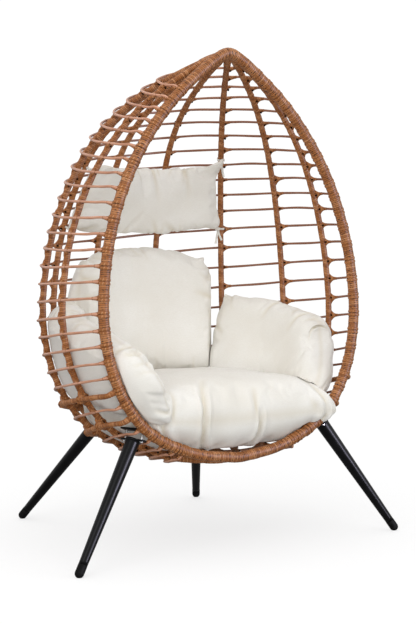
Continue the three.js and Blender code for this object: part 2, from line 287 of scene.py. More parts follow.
class Nodes:
    """Short names for the shader nodes used below."""

    def __init__(self, tree):
        self.tree = tree

    def plug(self, socket, value):
        if isinstance(value, bpy.types.NodeSocket):
            self.tree.links.new(value, socket)
        else:
            socket.default_value = value

    def add(self, kind, inputs=None, **settings):
        """Adds a node with the given inputs, by number or name, and gives its outputs."""
        node = self.tree.nodes.new(f"ShaderNode{kind}")
        for name, value in settings.items():
            setattr(node, name, value)
        for key, value in (inputs or {}).items():
            self.plug(node.inputs[key], value)
        return node.outputs

    def coords(self):
        return self.add("TexCoord")["Object"]

    def uv(self):
        return self.add("UVMap", uv_map="wrap")[0]

    def attribute(self, name):
        return self.add("Attribute", attribute_name=name)["Fac"]

    def seen(self):
        """1 for what the camera sees straight, 0 for what it sees by way of other surfaces."""
        return self.add("LightPath")["Is Camera Ray"]

    def split(self, vector):
        return self.add("SeparateXYZ", {0: vector})

    def join(self, x, y, z):
        return self.add("CombineXYZ", {0: x, 1: y, 2: z})[0]

    def math(self, kind, a, b=0.0):
        return self.add("Math", {0: a, 1: b, 2: 0.0}, operation=kind)[0]

    def plus(self, a, b):
        return self.math("ADD", a, b)

    def times(self, a, b):
        return self.math("MULTIPLY", a, b)

    def dot(self, a, b):
        return self.add("VectorMath", {0: a, 1: b}, operation="DOT_PRODUCT")["Value"]

    def noise(self, vector, scale, detail=3.0, rough=0.5, distort=0.0):
        return self.add("TexNoise", {"Vector": vector, "Scale": scale, "Detail": detail,
                                     "Roughness": rough, "Distortion": distort})["Fac"]

    def random(self, value):
        return self.add("TexWhiteNoise", {"W": value}, noise_dimensions="1D")["Value"]

    def scaled(self, vector, scale):
        return self.add("Mapping", {"Vector": vector, "Scale": scale})[0]

    def ramp(self, value, stops):
        node = self.tree.nodes.new("ShaderNodeValToRGB")
        self.plug(node.inputs[0], value)
        ramp = node.color_ramp
        while len(ramp.elements) < len(stops):
            ramp.elements.new(0.5)
        for element, (position, color) in zip(ramp.elements, stops):
            element.position = position
            element.color = (*color, 1.0)
        return node.outputs[0]

    def span(self, value, low, high, to_low=0.0, to_high=1.0):
        return self.add("MapRange", {0: value, 1: low, 2: high, 3: to_low, 4: to_high})[0]

    def mix(self, share, a, b):
        first, second = ((*color, 1.0) if isinstance(color, tuple) else color for color in (a, b))
        return self.add("Mix", {0: share, 6: first, 7: second}, data_type="RGBA")[2]

    def bump(self, height, strength, distance):
        return self.add("Bump", {"Height": height, "Strength": strength, "Distance": distance})[0]


class Look(Nodes):
    """The nodes of a new material around one principled shader."""

    def __init__(self, name):
        self.material = bpy.data.materials.new(name)
        self.material.use_nodes = True
        super().__init__(self.material.node_tree)
        self.tree.nodes.clear()
        self.output = self.tree.nodes.new("ShaderNodeOutputMaterial")
        self.shader = self.tree.nodes.new("ShaderNodeBsdfPrincipled")
        self.tree.links.new(self.shader.outputs[0], self.output.inputs[0])

    def dress(self, inputs):
        for name, value in inputs.items():
            self.plug(self.shader.inputs[name], value)
        return self.material


def strand_material(name, pitch, tones, pinhole_shade=0.0):
    """Flat resin strand wound on a tube: a tone for each turn, fine ridges along it, painted shade in the
    creases between the turns and in small gaps between them.
    """
    n = Look(name)
    around, along, _ = n.split(n.uv())
    phase = n.math("SUBTRACT", n.math("DIVIDE", along, pitch), around)
    cell = n.math("FLOOR", phase)
    edge = n.math("ABSOLUTE", n.math("SUBTRACT", n.times(n.math("FRACT", phase), 2.0), 1.0))
    tone = n.ramp(n.random(cell), tones)
    cloudy = n.noise(n.coords(), 16.0)
    tone = n.mix(n.span(cloudy, 0.35, 0.7, 0.0, 0.45), tone, tones[0][1])
    ridges = n.noise(n.join(n.times(phase, 9.0), n.times(around, 3.0), cell), 1.0, 2.0)
    tone = n.mix(n.span(ridges, 0.45, 0.72, 0.0, 0.35), tone, tones[-1][1])
    # Painted shade: the crease between turns is darkened towards near black.
    tone = n.mix(n.span(edge, 0.68, 1.0, 0.0, 0.8), tone, (0.035, 0.012, 0.004))
    # Painted shade: small gaps in the crease are darkened to near black.
    if pinhole_shade:
        spot = n.noise(n.join(n.times(along, 150.0), n.times(around, 11.0), 0.0), 1.0, 1.0)
        hole_shade = n.times(n.span(spot, 0.54, 0.60), n.span(edge, 0.3, 0.6))
        tone = n.mix(n.times(hole_shade, pinhole_shade), tone, (0.02, 0.008, 0.004))
    return n.dress({
        "Base Color": tone,
        "Roughness": n.span(ridges, 0.3, 0.7, 0.36, 0.58),
        "Normal": n.bump(n.plus(n.times(ridges, 0.3), n.times(edge, -0.4)), 0.5, 0.0006),
        "Specular IOR Level": 0.3,
    })


def painted_shade_blob_material():
    """Painted shade: near black for the shaded gap inside a lashing, where the strand parts round a cane."""
    n = Look("lashing_painted_shade_blob")
    fibre = n.noise(n.coords(), 900.0, 2.0)
    return n.dress({
        "Base Color": n.ramp(fibre, [(0.4, (0.006, 0.002, 0.001)), (0.7, (0.03, 0.010, 0.004))]),
        "Roughness": 0.9,
        "Specular IOR Level": 0.05,
    })


def cane_material():
    """Smooth round resin cane: faint lengthwise streaks, paler worn patches, painted shade on the faces
    turned to the basket's inside.
    """
    n = Look("cane")
    around, along, _ = n.split(n.uv())
    streak = n.noise(n.join(n.times(along, 14.0), n.times(around, 9.0), 0.0), 1.0)
    tone = n.ramp(streak, [(0.3, (0.36, 0.14, 0.07)), (0.52, (0.56, 0.27, 0.16)), (0.75, (0.72, 0.42, 0.30))])
    cloudy = n.noise(n.coords(), 22.0, 2.0)
    tone = n.mix(n.span(cloudy, 0.4, 0.75, 0.0, 0.5), tone, (0.64, 0.33, 0.21))
    across, depth, _ = n.split(n.coords())
    out = n.join(across, n.math("SUBTRACT", depth, BASKET_AXIS_Y), 0.0)
    outwards = n.dot(n.tree.nodes.new("ShaderNodeNewGeometry").outputs["Normal"], out)
    return n.dress({
        # Painted shade: faces turned to the basket's inside are darkened towards dark brown.
        "Base Color": n.mix(n.span(outwards, -0.30, 0.10, 0.72, 0.0), tone, (0.15, 0.045, 0.018)),
        "Roughness": n.span(streak, 0.3, 0.7, 0.3, 0.48),
        "Normal": n.bump(streak, 0.25, 0.0004),
    })


def powder_coat_material():
    """Black powder coat: fine orange peel, a little dust, satin."""
    n = Look("black_powder_coat")
    peel = n.noise(n.coords(), 900.0, 2.0)
    dust = n.noise(n.coords(), 24.0, 4.0)
    return n.dress({
        "Base Color": n.ramp(dust, [(0.35, (0.0012, 0.0012, 0.0014)), (0.75, (0.004, 0.004, 0.0048))]),
        "Roughness": n.span(dust, 0.3, 0.75, 0.28, 0.36),
        "Normal": n.bump(peel, 0.02, 0.0001),
        "Specular IOR Level": 0.16,
    })


def plastic_material():
    """Black moulded plastic with a fine matt grain."""
    n = Look("foot_plastic")
    grain = n.noise(n.coords(), 1400.0)
    scuff = n.noise(n.coords(), 60.0, 4.0)
    return n.dress({
        "Base Color": n.ramp(scuff, [(0.4, (0.003, 0.003, 0.003)), (0.8, (0.012, 0.012, 0.012))]),
        "Roughness": n.span(scuff, 0.3, 0.8, 0.5, 0.75),
        "Normal": n.bump(grain, 0.3, 0.0003),
        "Specular IOR Level": 0.08,
    })


def zinc_material():
    """Bright zinc plate with faint turning marks and blotches."""
    n = Look("zinc")
    blotch = n.noise(n.coords(), 180.0, 4.0)
    return n.dress({
        "Base Color": n.ramp(blotch, [(0.3, (0.55, 0.56, 0.58)), (0.7, (0.82, 0.82, 0.80))]),
        "Metallic": 1.0,
        "Roughness": n.span(blotch, 0.3, 0.7, 0.18, 0.38),
        "Normal": n.bump(n.noise(n.coords(), 700.0, 2.0), 0.15, 0.0003),
    })


THREAD_PITCH = 0.0011


def fabric_material():
    """Cream plain-weave polyester: crossed threads, slubs, soft shade changes, painted warm shade in the
    folds and along the seam, a sheen.
    """
    n = Look("cream_fabric")
    spot = n.coords()
    x, y, z = n.split(spot)
    threads = FULL_TURN / THREAD_PITCH
    diagonal = n.plus(n.times(x, 0.8), n.times(y, 0.6))
    warp = n.math("SINE", n.times(diagonal, threads))
    weft = n.math("SINE", n.times(n.plus(z, n.times(y, 0.35)), threads))
    weave = n.times(n.plus(warp, weft), 0.25)
    slub = n.noise(n.scaled(spot, (1.0, 1.0, 6.0)), 120.0)
    broad = n.noise(spot, 5.0)
    tone = n.ramp(broad, [(0.3, (0.80, 0.775, 0.715)), (0.7, (0.88, 0.87, 0.835))])
    tone = n.mix(n.span(slub, 0.35, 0.75, 0.0, 0.35), tone, (0.72, 0.69, 0.62))
    tone = n.mix(n.span(weave, -0.5, -0.1, 0.22, 0.0), tone, (0.6, 0.56, 0.48))
    # Painted shade: a warm darker tint where the cover's fold shade weight is high, in its folds and along
    # its seam.
    tone = n.mix(n.times(n.attribute("fold_shade"), 0.6), tone, (0.62, 0.54, 0.38))
    rough = n.span(slub, 0.3, 0.7, 0.82, 0.95)
    crumple = n.noise(spot, 26.0, 4.0, 0.5, 0.6)
    fine = n.bump(n.plus(n.times(weave, 0.35), n.times(slub, 0.25)), 0.35, 0.0004)
    soft = n.bump(crumple, 0.25, 0.004)
    n.plug(soft.node.inputs["Normal"], fine)
    return n.dress({
        "Base Color": tone,
        "Roughness": rough,
        "Normal": soft,
        "Sheen Weight": 0.15,
        "Sheen Roughness": 0.5,
        "Specular IOR Level": 0.2,
    })


RIM_PITCH, RIB_PITCH, LASH_PITCH = 0.0064, 0.0056, 0.0046
WARM = [(0.0, (0.25, 0.080, 0.018)), (0.5, (0.38, 0.132, 0.030)), (1.0, (0.56, 0.26, 0.11))]
RIM_STRAND = strand_material("rim_strand", RIM_PITCH, WARM, pinhole_shade=0.85)
RIB_STRAND = strand_material("rib_strand", RIB_PITCH, WARM, pinhole_shade=0.4)
LASH_STRAND = strand_material("lash_strand", LASH_PITCH, WARM)
PAINTED_SHADE = painted_shade_blob_material()
CANE = cane_material()
POWDER_COAT = powder_coat_material()
FOOT_PLASTIC = plastic_material()
ZINC = zinc_material()
FABRIC = fabric_material()

# ---- the wound rim and ribs ----

RIM_CREASE, RIB_CREASE, THICK_CREASE = 0.0008, 0.0007, 0.0009
RIB_WRAP = 0.0004
PINCH_LENGTH, PINCH_DEPTH = 0.010, 0.0008
CROSSING_REACH = 0.03
ROW_STRIDE, POINT_STRIDE = 8, 4
RIM_LINE = rim_centres()
RIBS = {name: rib_centres(name) for name in RIB_NODES}
HOOPS = {name: hoop_centres(name) for name in HOOP_NODES}


def build_rim():
    curve = smooth_curve(RIM_LINE, WRAP_STEP, closed=True)
    rings, along = wound_rings(curve, RIM_RADIUS, RIM_PITCH, 28, RIM_CREASE, closed=True)
    soup = Soup()
    soup.add_tube(rings, along, closed=True)
    soup.build("wound_rim", RIM_STRAND, "frame", "wrapped_strand", ["front_rim"])


def crossings_on(curve):
    """Where each hoop passes a rib: the row of the rib's curve and the hoop point nearest to it."""
    found = {}
    for name, line in HOOP_CURVES.items():
        gap = np.linalg.norm(curve[::ROW_STRIDE, None] - line[None, ::POINT_STRIDE], axis=2)
        row, column = np.unravel_index(np.argmin(gap), gap.shape)
        if gap[row, column] < CROSSING_REACH:
            found[name] = (row * ROW_STRIDE, column * POINT_STRIDE)
    return found


def build_rib(name):
    """A wound rib, drawn in a little where a lashing binds it; gives its line and its crossings too."""
    curve = smooth_curve(RIBS[name], WRAP_STEP)
    hits = crossings_on(curve)
    rows = np.arange(len(curve))
    pinch = np.zeros(len(curve))
    for row, _ in hits.values():
        pinch = np.maximum(pinch, np.exp(-(((rows - row) * WRAP_STEP / PINCH_LENGTH) ** 2)))
    rings, along = wound_rings(curve, RIB_RADIUS + RIB_WRAP, RIB_PITCH, 18, RIB_CREASE,
                               swell=-PINCH_DEPTH * pinch)
    soup = Soup()
    soup.add_tube(rings, along)
    soup.build(name.replace("_rib", "_wound_rib"), RIB_STRAND, "frame", "wrapped_strand", [name])
    return curve, hits


# ---- the hoops ----

CANE_STEP = 0.006
HOOP_END_REACH = 0.006
WAVER = 0.0011
CANE_UNEVENNESS, CANE_WAVES = 0.05, 40


def hoop_curve(name):
    """The hoop's line, with both ends run into the rim and a slight hand-made waver."""
    line = HOOPS[name]
    ends = []
    for end in (line[0], line[-1]):
        near = RIM_LINE_FINE[np.argmin(np.linalg.norm(RIM_LINE_FINE - end, axis=1))]
        ends.append(near + unit(end - near) * HOOP_END_REACH)
    curve = smooth_curve(np.vstack([ends[0], line, ends[1]]), CANE_STEP)
    share = np.linspace(0, 1, len(curve))
    waver = np.zeros((len(curve), 3))
    for waves in (5, 9, 14):
        shift = RANDOM.uniform(0, FULL_TURN, 3)
        size = RANDOM.normal(0, WAVER, 3) / math.sqrt(waves / 5)
        waver += np.sin(share[:, None] * waves * math.pi + shift) * size
    return curve + waver * np.sin(share * math.pi)[:, None] ** 0.5


def build_hoop(name):
    """A thick hoop is wound with strand; a thin one is a bare cane of slightly uneven thickness."""
    curve = HOOP_CURVES[name]
    soup = Soup()
    if name.startswith("wrapped"):
        curve = smooth_curve(curve[::4], WRAP_STEP)
        rings, along = wound_rings(curve, THICK_RADIUS, RIB_PITCH, 16, THICK_CREASE)
        soup.add_tube(rings, along)
        soup.build(name.replace("wrapped", "wound"), RIB_STRAND, "frame", "wrapped_strand", [name])
        return
    along = row_lengths(curve)
    radii = CANE_RADIUS * (1 + CANE_UNEVENNESS * np.sin(along * CANE_WAVES + RANDOM.uniform(0, 6)))
    soup.add_tube(tube_rings(curve, radii, 12), along)
    soup.build(name.replace("cane_hoop", "bent_cane"), CANE, "frame", "cane", [name])


# ---- lashings ----

WEB_REACH, WEB_HEIGHT = 0.032, 0.0175
WEB_ROWS, WEB_SIDES, WEB_TURNS = 16, 14, 6
WEB_WRAP, WEB_CREASE = 0.0009, 0.0005
# Size and place of the near-black painted shade blob in each lashing.
PAINTED_SHADE_ROWS, PAINTED_SHADE_TALL, PAINTED_SHADE_DEEP, PAINTED_SHADE_HALF_WIDTH = 7, 0.0030, 0.0042, 0.0045
PAINTED_SHADE_OFFSET = 0.0035
KNOB_ROWS, KNOB_SIDES, KNOB_TURNS = 25, 10, 5
KNOB_RADIUS, KNOB_WRAP, KNOB_CREASE = 0.0115, 0.0008, 0.0007
BAND_CORNERS = ((-0.5, 0.0), (-0.35, 0.8), (0.0, 1.0), (0.35, 0.8), (0.5, 0.0), (0.0, -0.6))
BAND_SCALE = 0.015


def add_band(soup, centre, normal, across, half_sizes, width, thickness, tilt=0.0):
    """A closed flat strand round a tube: its centre, the tube's direction, and the loop's two half-sizes."""
    other = unit(np.cross(normal, across))
    turn = ring_angles(24)
    cosine, sine = np.cos(turn)[:, None], np.sin(turn)[:, None]
    loop = centre + cosine * across * half_sizes[0] + sine * other * half_sizes[1] + sine * normal * tilt
    outward = unit(loop - centre)
    rings = np.stack([loop + normal * width * a + outward * thickness * b for a, b in BAND_CORNERS], axis=1)
    soup.add_tube(rings, turn * BAND_SCALE, closed=True)


def lash_rib(soup, painted_shade_blobs, rib_curve, row, hoop_line, column, thick):
    """The strand spreads from the rib onto the hoop in a wound web, on the side towards the rim.

    A near-black blob of painted shade sits where the strand parts round the hoop. Two crossed bands also bind
    a thick hoop.
    """
    rib_point, hoop_point = rib_curve[row], hoop_line[column]
    rib_way = unit(rib_curve[min(row + 6, len(rib_curve) - 1)] - rib_curve[max(row - 6, 0)])
    ahead = 1 if column > len(hoop_line) / 2 else -1
    far = int(np.clip(column + ahead * round(WEB_REACH / CANE_STEP), 0, len(hoop_line) - 1))
    tip = hoop_line[far]
    hoop_radius = THICK_RADIUS if thick else CANE_RADIUS
    share = np.linspace(0, 1, WEB_ROWS)
    base = rib_point * 0.55 + hoop_point * 0.45
    curve = base + (tip - base) * share[:, None]
    way = unit(tip - base)
    tall = unit(rib_way - way * np.dot(rib_way, way))
    thin = np.cross(way, tall)
    turn = ring_angles(WEB_SIDES)
    phase = share[:, None] * WEB_TURNS - turn[None] / FULL_TURN
    crease = WEB_CREASE * np.abs(2 * (phase - np.floor(phase)) - 1) ** 3
    height = (hoop_radius + WEB_WRAP + WEB_HEIGHT * (1 - share) ** 2.6)[:, None] - crease
    depth = (hoop_radius + 0.0007 + 0.0022 * (1 - share))[:, None] - crease
    high, deep = (height * np.cos(turn))[:, :, None], (depth * np.sin(turn))[:, :, None]
    rings = curve[:, None] + high * tall + deep * thin
    soup.add_tube(rings, share * WEB_TURNS * LASH_PITCH)
    inward = unit(rib_point - hoop_point)
    inward = unit(inward - way * np.dot(inward, way))
    # Painted shade: a small near-black blob stands in the gap where the strand parts round the hoop.
    middle = rib_point + way * (RIB_RADIUS + PAINTED_SHADE_OFFSET) + inward * 0.0005
    size = np.sin(np.linspace(0.1, math.pi - 0.1, PAINTED_SHADE_ROWS))
    spine = middle + way * np.linspace(-PAINTED_SHADE_HALF_WIDTH, PAINTED_SHADE_HALF_WIDTH, PAINTED_SHADE_ROWS)[:, None]
    painted_shade_blob = (
        spine[:, None] + (PAINTED_SHADE_TALL * size[:, None] * np.cos(turn))[:, :, None] * tall
        + (PAINTED_SHADE_DEEP * size[:, None] * np.sin(turn))[:, :, None] * inward
    )
    painted_shade_blobs.add_tube(painted_shade_blob, np.arange(PAINTED_SHADE_ROWS) * 0.001)
    if thick:
        centre = (rib_point + hoop_point) / 2
        size = np.linalg.norm(hoop_point - rib_point) / 2
        half_sizes = (size + THICK_RADIUS + 0.002, RIB_RADIUS + 0.003)
        for tilt in (-0.010, 0.010):
            add_band(soup, centre, rib_way, -inward, half_sizes, 0.0065, 0.0012, tilt)


def lash_rim_end(soup, hoop_line, end, thick):
    """A wound knob where a hoop's end meets the rim, with two turns round the rim itself."""
    points = hoop_line if end == 0 else hoop_line[::-1]
    near = np.argmin(np.linalg.norm(RIM_LINE_FINE - points[0], axis=1))
    rim_point = RIM_LINE_FINE[near]
    ahead = RIM_LINE_FINE[(near + 6) % len(RIM_LINE_FINE)]
    rim_way = unit(ahead - RIM_LINE_FINE[near - 6])
    far = min(6, len(points) - 1)
    hoop_radius = THICK_RADIUS if thick else CANE_RADIUS
    tip_radius = hoop_radius + KNOB_WRAP
    base = rim_point + unit(points[far] - rim_point) * 0.007
    share = np.linspace(0, 1, KNOB_ROWS)
    curve = base + (points[far - 1] - base) * share[:, None]
    radii = tip_radius + (KNOB_RADIUS - tip_radius) * (1 - share) ** 1.6
    phase = share[:, None] * KNOB_TURNS - np.arange(KNOB_SIDES)[None] / KNOB_SIDES
    crease = KNOB_CREASE * np.abs(2 * (phase - np.floor(phase)) - 1) ** 3
    rings = tube_rings(curve, radii[:, None] - crease, KNOB_SIDES, start=rim_way)
    soup.add_tube(rings, share * KNOB_TURNS * LASH_PITCH)
    across = unit(points[far] - rim_point - rim_way * np.dot(points[far] - rim_point, rim_way))
    half_size = RIM_RADIUS + 0.0009
    for shift in (-0.0055, 0.0055):
        add_band(soup, rim_point + rim_way * shift, rim_way, across, (half_size, half_size), 0.0075, 0.0008)


def build_bindings():
    """Wound bindings where the ribs gather behind the rim's point and under the seat."""
    for name, pick, size in (("apex_binding", -1, 0.032), ("base_binding", 0, 0.030)):
        soup = Soup()
        ends = np.array([line[pick] for line in RIBS.values()])
        inner = np.array([line[pick - 1 if pick else 1] for line in RIBS.values()])
        rim_point = RIM_LINE_FINE[np.argmin(np.linalg.norm(RIM_LINE_FINE - ends.mean(0), axis=1))]
        for end, back in zip(ends, inner):
            way = unit(end - back)
            start = end - way * size
            target = rim_point + (end - rim_point) * 0.25
            curve = smooth_curve(np.array([start, end, target]), 0.0022)
            rings, along = wound_rings(curve, RIB_RADIUS + 0.0022, LASH_PITCH, 14, THICK_CREASE)
            soup.add_tube(rings, along)
        soup.build(name, LASH_STRAND, "frame", "wrapped_strand")


# ---- the legs ----

LEG_TOP_RADIUS, LEG_FOOT_RADIUS, FOOT_RADIUS, FOOT_LENGTH = 0.022, 0.0136, 0.014, 0.026
BAR_LENGTH, BAR_WIDTH, BAR_THICKNESS, BAR_CORNER = 0.084, 0.031, 0.005, 0.011
BOLT_SPREAD, BOLT_HEAD_RADIUS, BOLT_HEAD_HEIGHT = 0.0292, 0.0058, 0.0042
LUG_DEPTH, LUG_WIDTH, LUG_CORNER = 0.0313, 0.046, 0.006
BEVEL = 0.0009
WELD = ((-0.001, 0.0250), (0.0015, 0.0256), (0.0040, 0.0248), (0.0065, 0.0232), (0.0090, 0.0219))
WASHER = ((-0.0002, 0.0032), (-0.0002, 0.0064), (0.0002, 0.0067), (0.0009, 0.0067), (0.0012, 0.0064),
          (0.0012, 0.0032))
SHANK = ((-0.034, 0.0025), (-0.033, 0.0030), (0.0, 0.0030))


def bolt_pose(name):
    """The middle of the underside of a bolt's head, and the way its head points."""
    points = node_points(name)
    centre = points.mean(0)
    way = np.linalg.svd(points - centre)[2][0]
    along = (points - centre) @ way
    away = np.linalg.norm(points - centre - np.outer(along, way), axis=1)
    head = along[away > 0.8 * away.max()]
    if head.mean() < 0:
        way, head = -way, -head
    return centre + way * head.min(), way


def add_bar(soup, centre, along, across, half_length, half_width, corner):
    """A flat bar with rounded corners and a small bevel."""
    normal = np.cross(along, across)
    turn = ring_angles(48) + 0.01
    rings = []
    for height, inset in ((-0.5, BEVEL), (-0.32, 0.0), (0.32, 0.0), (0.5, BEVEL)):
        x = np.sign(np.cos(turn)) * (half_length - corner) + (corner - inset) * np.cos(turn)
        y = np.sign(np.sin(turn)) * (half_width - corner) + (corner - inset) * np.sin(turn)
        rings.append(centre + x[:, None] * along + y[:, None] * across + normal * BAR_THICKNESS * height)
    soup.add_tube(np.array(rings), np.arange(4) * 0.001)


def build_lug(leg, centre, outward, bolt_way):
    """The welded plate that carries the leg's two bolts, from the rim or the rear rib."""
    front = leg.startswith("front")
    side = leg.split("_")[1]
    line = RIM_LINE_FINE if front else smooth_curve(RIBS[f"{side}_rear_rib"], LINE_STEP)
    near = line[np.argmin(np.linalg.norm(line - centre, axis=1))]
    reach_way = bolt_way if front else np.cross(outward, bolt_way)
    reach_way = reach_way * np.sign(np.dot(near - centre, reach_way))
    start = -(BOLT_SPREAD * front + 0.012)
    reach = np.dot(near - centre, reach_way) - 0.004
    half_width = (LUG_WIDTH + BOLT_SPREAD * (not front)) / 2
    middle = centre - outward * LUG_DEPTH + reach_way * (reach + start) / 2
    soup = Soup()
    width_way = np.cross(outward, reach_way)
    add_bar(soup, middle, reach_way, width_way, (reach - start) / 2, half_width, LUG_CORNER)
    soup.build(f"{leg}_lug", POWDER_COAT, "frame", "black_leg")


def lathe(soup, origin, way, profile, sides=48):
    """Turns a list of (distance along, radius) round a line."""
    way = unit(way)
    side = unit(np.cross(way, UP if abs(way[2]) < 0.9 else (1.0, 0.0, 0.0)))
    other = np.cross(way, side)
    turn = ring_angles(sides)
    round_ = np.cos(turn)[:, None] * side + np.sin(turn)[:, None] * other
    rings = np.array([origin + way * along + round_ * max(radius, 1e-5) for along, radius in profile])
    soup.add_tube(rings, np.array([along for along, _ in profile], float))


def build_leg(leg):
    """A tapered tube with its bar, weld, foot cap, bolts and lug, placed by its bolts and lower end."""
    bolts = [bolt_pose(f"{leg}_bolt_{number}") for number in (1, 2)]
    outward = unit(bolts[0][1] + bolts[1][1])
    bolt_way = unit(bolts[1][0] - bolts[0][0])
    centre = (bolts[0][0] + bolts[1][0]) / 2 - outward * (BAR_THICKNESS / 2 + 0.0003)
    leg_points, foot_points = node_points(f"{leg}_leg"), node_points(f"{leg}_foot")
    end = leg_points[np.argsort(leg_points[:, 2])[:12]].mean(0)
    way = unit(end - centre)
    length = np.linalg.norm(end - centre)
    tube = Soup()
    taper = [(share * (length - 0.0005), LEG_TOP_RADIUS + (LEG_FOOT_RADIUS - LEG_TOP_RADIUS) * share)
             for share in np.linspace(0, 1, 40)]
    lathe(tube, centre, way, taper)
    lathe(tube, centre, outward * 0.5 + way * 0.5, WELD)
    add_bar(tube, centre, bolt_way, np.cross(outward, bolt_way), BAR_LENGTH / 2, BAR_WIDTH / 2, BAR_CORNER)
    tube.build(f"{leg}_tapered_leg", POWDER_COAT, "frame", "black_leg", [f"{leg}_leg"])
    cap = Soup()
    lip = [(-FOOT_LENGTH, LEG_FOOT_RADIUS - 0.0002), (-FOOT_LENGTH + 0.0008, FOOT_RADIUS), (0.0, FOOT_RADIUS)]
    ball = [(FOOT_RADIUS * math.sin(a), FOOT_RADIUS * math.cos(a)) for a in np.linspace(0.12, 1.5, 9)]
    lathe(cap, end + way * FOOT_LENGTH, way, lip + ball, 40)
    rounded = np.vstack(cap.points)
    rounded[:, 2] = np.maximum(rounded[:, 2], foot_points[:, 2].min())
    cap.points = [rounded]
    cap.build(f"{leg}_rounded_foot", FOOT_PLASTIC, "frame", "foot_plastic", [f"{leg}_foot"])
    for number, (base, head_way) in enumerate(bolts, 1):
        build_bolt(f"{leg}_bolt_{number}", base, head_way, bolt_way)
    build_lug(leg, centre, outward, bolt_way)


def build_bolt(name, base, outward, side):
    """A hexagon bolt with a washer and a chamfered head."""
    soup = Soup()
    lathe(soup, base, outward, WASHER, 28)
    side = unit(side - outward * np.dot(side, outward))
    other = np.cross(outward, side)
    hexagon = np.arange(6) * math.pi / 3 + 0.2
    radius, height = BOLT_HEAD_RADIUS, BOLT_HEAD_HEIGHT
    rows = []
    for along, size in ((0.0012, radius - 0.0004), (0.0015, radius), (height - 0.0006, radius),
                        (height - 0.0001, radius - 0.0008), (height, radius - 0.0035)):
        middle = base + outward * along
        rows.append([middle + (side * math.cos(a) + other * math.sin(a)) * size for a in hexagon])
    soup.add_tube(np.array(rows), np.arange(5) * 0.001)
    lathe(soup, base, outward, SHANK, 16)
    soup.build(f"{name}_zinc", ZINC, "frame", "zinc_bolt", [name], smooth=False)


# ---- the cushions ----

CUSHION_GRID = 0.0065
CLOTH_FRAMES = 18
CLOTH_CAP = 0.014
FABRIC_GAP = 0.004
SEAM_GATHER, SEAM_SLACK, SEAM_GROOVE, SEAM_SHADE = 0.05, -0.03, 0.0022, 0.4
DEEP_FOLD = 0.006
SQUARE, SOFT, ROUND = 9.0, 4.2, 2.5
EDGE_WAVES = ((7, 0.004), (17, 0.003), (29, 0.002))
EAR_LIFT = 0.4
CONTACT_WAVE, CONTACT_WAVES_PER_METRE = 0.003, 70.0
RIM_PLANE_EASE = 2.0
ABOVE_ALL = 1.2


def basket_wall(z):
    """Distance from the basket's axis to the middle of its ribs, at a height."""
    right = RIM_LINE_FINE[(RIM_LINE_FINE[:, 0] > 0)]
    right = right[np.argsort(right[:, 2])]
    half_width = np.interp(z, right[:, 2], right[:, 0])
    return np.hypot(half_width, BASKET_AXIS_Y - rim_plane_y(z))


def two_sheets(columns, rows):
    """Two sheets of quads that share their edge: each vertex's (u, v, side), the faces, the edge loop."""
    u, v = np.meshgrid(np.linspace(-1, 1, columns), np.linspace(-1, 1, rows))
    inner = (np.abs(u) < 1) & (np.abs(v) < 1)
    front = np.arange(columns * rows).reshape(rows, columns)
    back = front.copy()
    back[inner] = columns * rows + np.arange(inner.sum())
    faces = []
    for sheet, flip in ((front, False), (back, True)):
        quads = np.stack([sheet[:-1, :-1], sheet[:-1, 1:], sheet[1:, 1:], sheet[1:, :-1]], -1).reshape(-1, 4)
        faces.append(quads[:, ::-1] if flip else quads)
    side = np.where(inner, 1.0, 0.0).ravel()
    coords = np.concatenate([
        np.stack([u.ravel(), v.ravel(), side], 1),
        np.stack([u[inner], v[inner], -np.ones(inner.sum())], 1),
    ])
    loop = np.concatenate([front[0], front[1:, -1], front[-1, -2::-1], front[-2:0:-1, 0]])
    return coords, np.vstack(faces), loop


